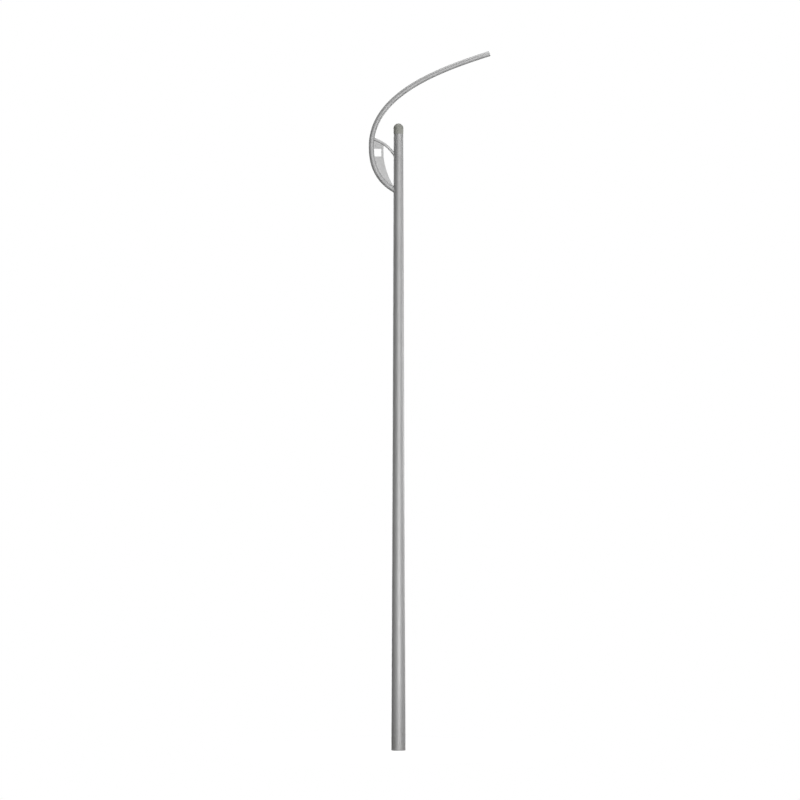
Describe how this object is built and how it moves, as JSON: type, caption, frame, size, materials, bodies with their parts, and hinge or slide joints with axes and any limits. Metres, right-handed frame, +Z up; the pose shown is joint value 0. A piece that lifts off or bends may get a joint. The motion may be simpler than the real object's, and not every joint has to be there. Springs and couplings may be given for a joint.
{
  "type": "street lamp post",
  "caption": "Tall tapered round steel lamp column with a ball finial and a bow arm sweeping over its top to a bare luminaire spigot, braced by an arc tube and a gusset plate.",
  "frame": {"origin": "on the column's axis at ground level, on the underside of its foot plate", "axes": "+Z up along the column, +X towards the arm's open end, +Y towards the access door"},
  "size_m": [1.3982, 0.163, 8.0286],
  "materials": {
    "column": "silver-grey metallic paint, satin",
    "arm": "silver-grey metallic paint, satin",
    "plate": "light grey paint, satin",
    "finial": "dark greenish-grey paint, satin",
    "zinc": "zinc-plated",
    "steel": "bright",
    "rubber": "matte black",
    "board": "matte resin board",
    "breaker": "light grey moulding",
    "toggle": "black moulding",
    "brass": "bright"
  },
  "bodies": {
    "post": {"base_section": "column", "backing_ring": "zinc", "pole_shaft": "column", "foot_plate": "zinc", "bow_arm": "arm", "brace_arc": "arm", "gusset_plate": "plate", "arm_cable_bush": "rubber", "tip_cable_bush": "rubber", "finial_collar": "finial", "finial_ball": "finial", "finial_stud": "steel", "finial_washer": "steel", "finial_nut": "steel", "finial_grub_screw_1": "steel", "finial_grub_screw_2": "steel", "finial_grub_screw_3": "steel", "door_frame": "zinc", "door_gasket": "rubber", "lower_hinge_post_leaf": "zinc", "lower_hinge_washer": "brass", "lower_hinge_pin": "steel", "upper_hinge_post_leaf": "zinc", "upper_hinge_washer": "brass", "upper_hinge_pin": "steel", "board_bracket_lower": "zinc", "board_bracket_upper": "zinc", "equipment_board": "board", "board_screw_1": "zinc", "board_screw_2": "zinc", "board_screw_3": "zinc", "board_screw_4": "zinc", "din_rail": "zinc", "din_rail_screw_1": "zinc", "din_rail_screw_2": "zinc", "breaker_body": "breaker", "terminal_block": "breaker", "terminal_screw_1": "zinc", "terminal_screw_2": "zinc", "earth_stud": "brass", "earth_washer": "brass", "earth_nut": "brass"},
    "door": {"door_panel": "column", "lower_hinge_door_leaf": "zinc", "upper_hinge_door_leaf": "zinc", "lock_housing": "zinc", "lock_nut": "zinc"},
    "lock": {"lock_spindle": "steel", "lock_cam": "steel", "lock_cam_screw": "zinc"},
    "toggle": {"breaker_toggle": "toggle"}
  },
  "joints": [
    {"name": "door_hinge", "type": "hinge", "parent": "post", "child": "door", "pos_m": [0.05105, 0.06899, 0.7], "axis": [0, 0, -1], "range_deg": [0, 120]},
    {"name": "lock_turn", "type": "hinge", "parent": "door", "child": "lock", "pos_m": [-0.02305, 0.07539, 0.7], "axis": [-0.2924, 0.9563, 0], "range_deg": [0, 90]},
    {"name": "breaker_switch", "type": "hinge", "parent": "post", "child": "toggle", "pos_m": [0, 0.007, 0.755], "axis": [1, 0, 0], "range_deg": [0, 70]}
  ]
}
